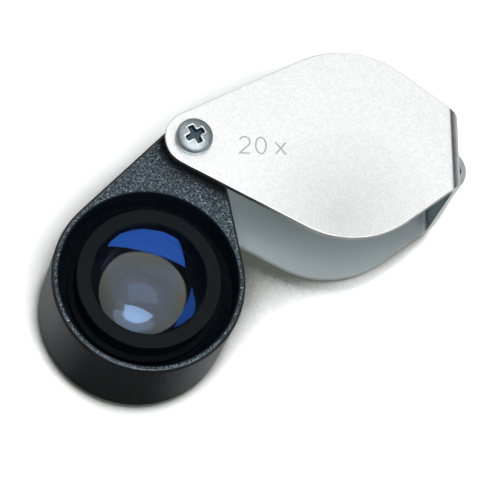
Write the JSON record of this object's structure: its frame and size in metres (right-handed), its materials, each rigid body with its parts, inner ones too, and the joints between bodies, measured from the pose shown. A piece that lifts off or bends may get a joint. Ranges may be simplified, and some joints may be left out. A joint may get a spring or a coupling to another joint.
{
  "type": "folding viewing loupe",
  "caption": "Folding magnifier: a teardrop lens head swings on one pivot out of a flat U-shaped metal cover with a lanyard lug at its closed end.",
  "frame": {"origin": "on the pivot axis, at the outer face of the cover's bottom plate, which is the face that the loupe lies on", "axes": "+Z along the pivot axis, up through both plates; +X along the cover from the pivot to its closed end; the lens head is swung out towards -Y"},
  "size_m": [0.0588, 0.046, 0.0202],
  "materials": {
    "satin_cover": "satin",
    "satin_lug": "satin",
    "zinc_screw": "satin",
    "turned_steel": "satin",
    "spring_steel": "satin",
    "white_nylon": "matte",
    "crinkle_lacquer": "matte",
    "bush_brass": "satin",
    "black_anodised": "matte",
    "blackened_stop": "matte",
    "coated_glass": "polished",
    "crown_glass": "polished"
  },
  "bodies": {
    "cover": {"cover_shell": "satin_cover", "pivot_post": "turned_steel", "pivot_screw": "zinc_screw", "spring_washer": "spring_steel", "friction_washer": "white_nylon", "lanyard_lug": "satin_lug"},
    "head": {"head_housing": "crinkle_lacquer", "upper_bush": "bush_brass", "lower_bush": "bush_brass", "lens_barrel": "black_anodised", "barrel_lock_ring": "black_anodised", "rear_retaining_ring": "black_anodised", "front_lens": "coated_glass", "front_spacer_ring": "black_anodised", "aperture_stop": "blackened_stop", "rear_lens_cell": "black_anodised", "rear_crown_lens": "crown_glass", "rear_flint_lens": "coated_glass"}
  },
  "joints": [
    {"name": "head_swing", "type": "hinge", "parent": "cover", "child": "head", "pos_m": [0, 0, 0], "axis": [0, 0, 1], "continuous": true}
  ]
}
